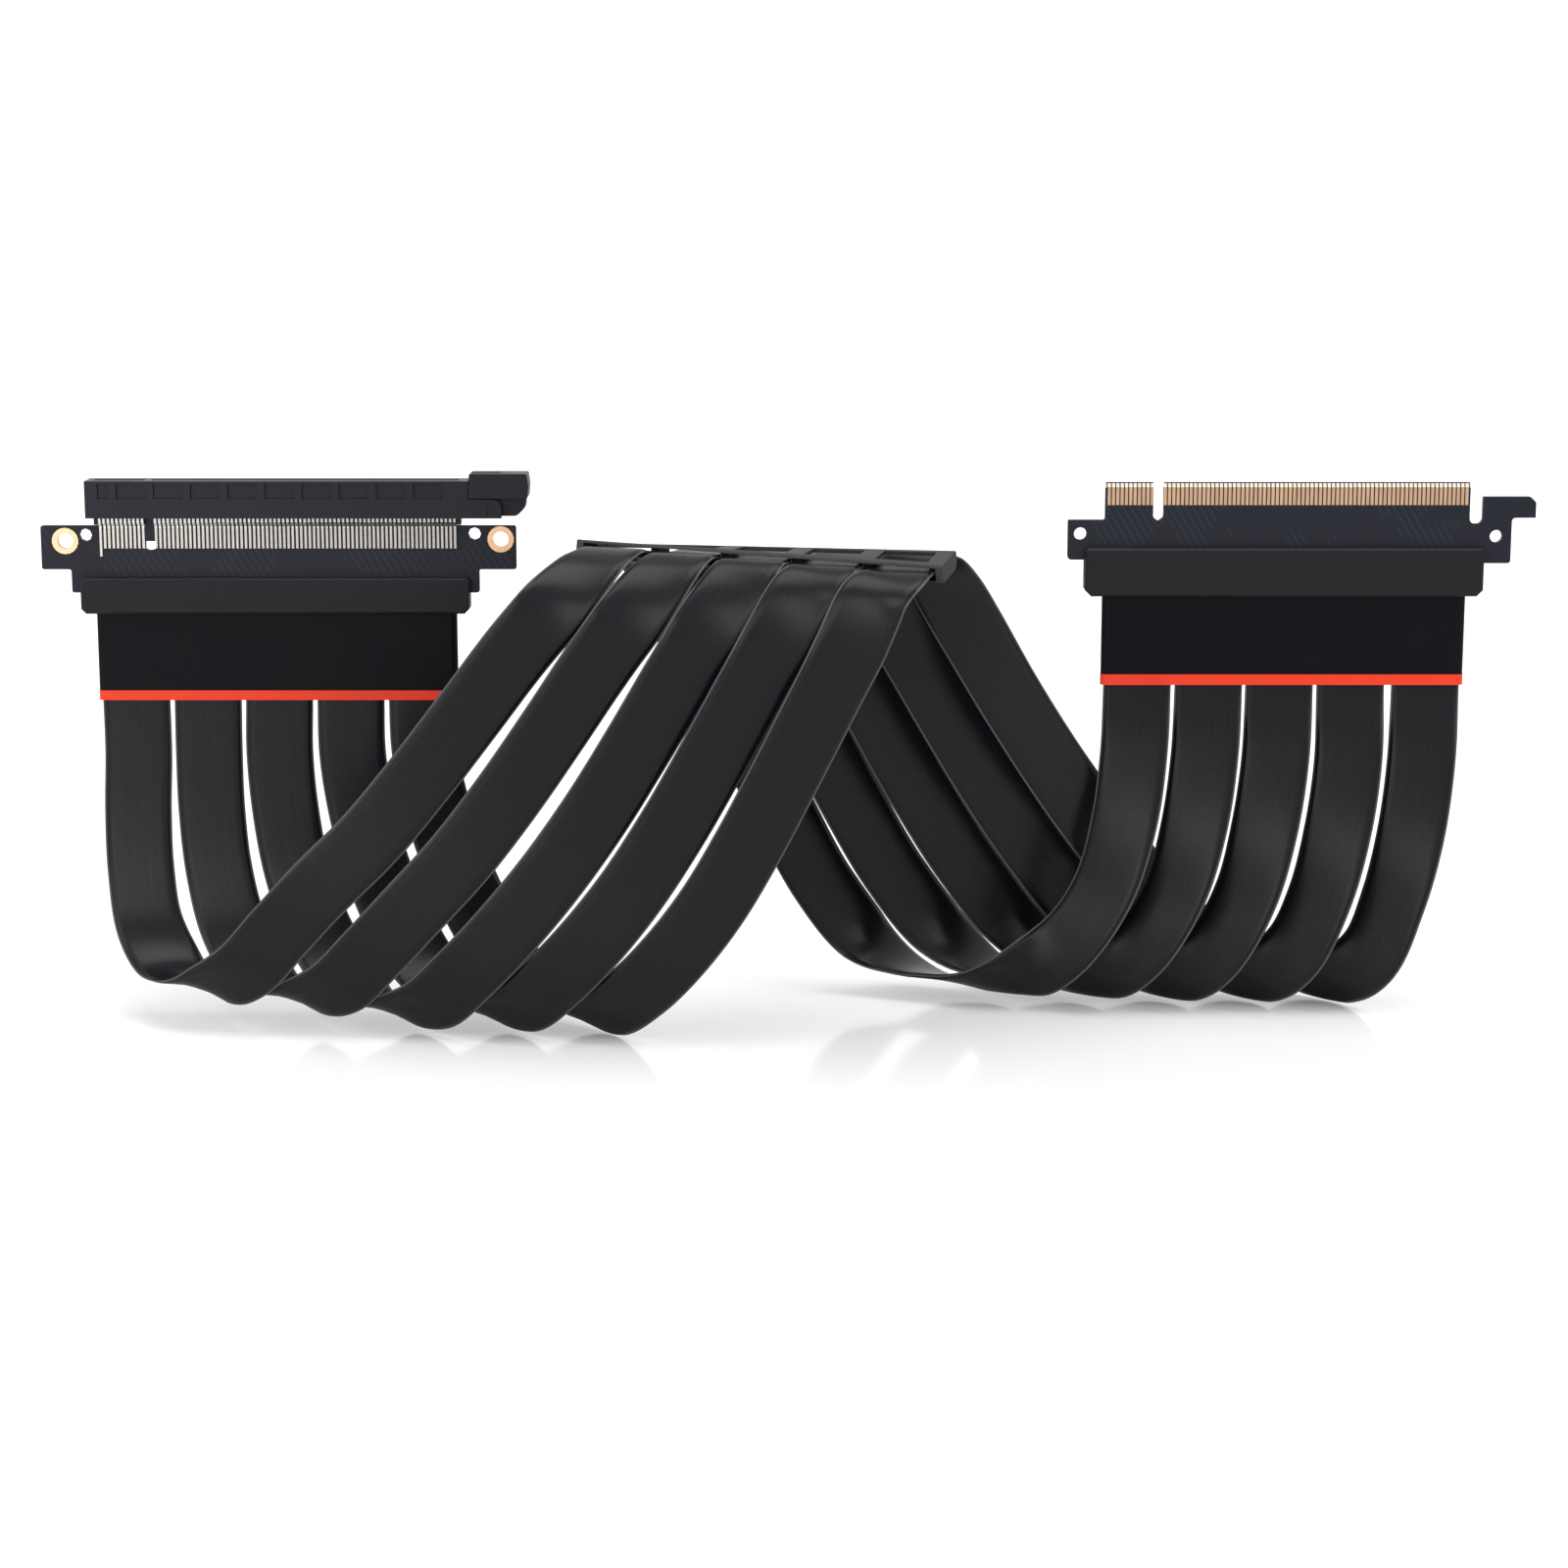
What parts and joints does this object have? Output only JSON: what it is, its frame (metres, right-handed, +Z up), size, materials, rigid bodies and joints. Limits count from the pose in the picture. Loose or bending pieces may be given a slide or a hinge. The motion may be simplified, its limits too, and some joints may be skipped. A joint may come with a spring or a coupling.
{
  "type": "gpu riser cable",
  "caption": "Flexible riser cable: an expansion slot with latch on a small board, flat black strands that turn over once through a comb, and a keyed card edge.",
  "frame": {"origin": "centre of the foot of the whole cable, on the surface it stands on", "axes": "+X from the slot end to the card edge end, +Y towards the back, +Z up"},
  "size_m": [0.3488, 0.0808, 0.1287],
  "materials": {
    "board": "dark blue-grey solder mask",
    "copper": "plated copper",
    "slot_plastic": "moulded, satin",
    "cover_plastic": "fine texture",
    "sleeve": "smooth sleeve",
    "stripe": "red-orange band",
    "strand": "soft satin with fine lengthwise lines",
    "comb_plastic": "moulded, fine grain"
  },
  "bodies": {
    "cable": {"female_board": "board", "plated_ring_left": "copper", "plated_ring_right": "copper", "slot_housing": "slot_plastic", "female_cover_front": "cover_plastic", "female_cover_back": "cover_plastic", "female_sleeve": "sleeve", "female_stripe": "stripe", "male_board": "board", "male_cover_front": "cover_plastic", "male_cover_back": "cover_plastic", "male_sleeve": "sleeve", "male_stripe": "stripe", "strand_1": "strand", "strand_2": "strand", "strand_3": "strand", "strand_4": "strand", "strand_5": "strand", "cable_comb": "comb_plastic"},
    "latch": {"slot_latch": "slot_plastic"}
  },
  "joints": [
    {"name": "latch_hinge", "type": "hinge", "parent": "cable", "child": "latch", "pos_m": [-0.06842, 0.01941, 0.12039], "axis": [0, 1, 0], "range_deg": [0, 18]}
  ]
}
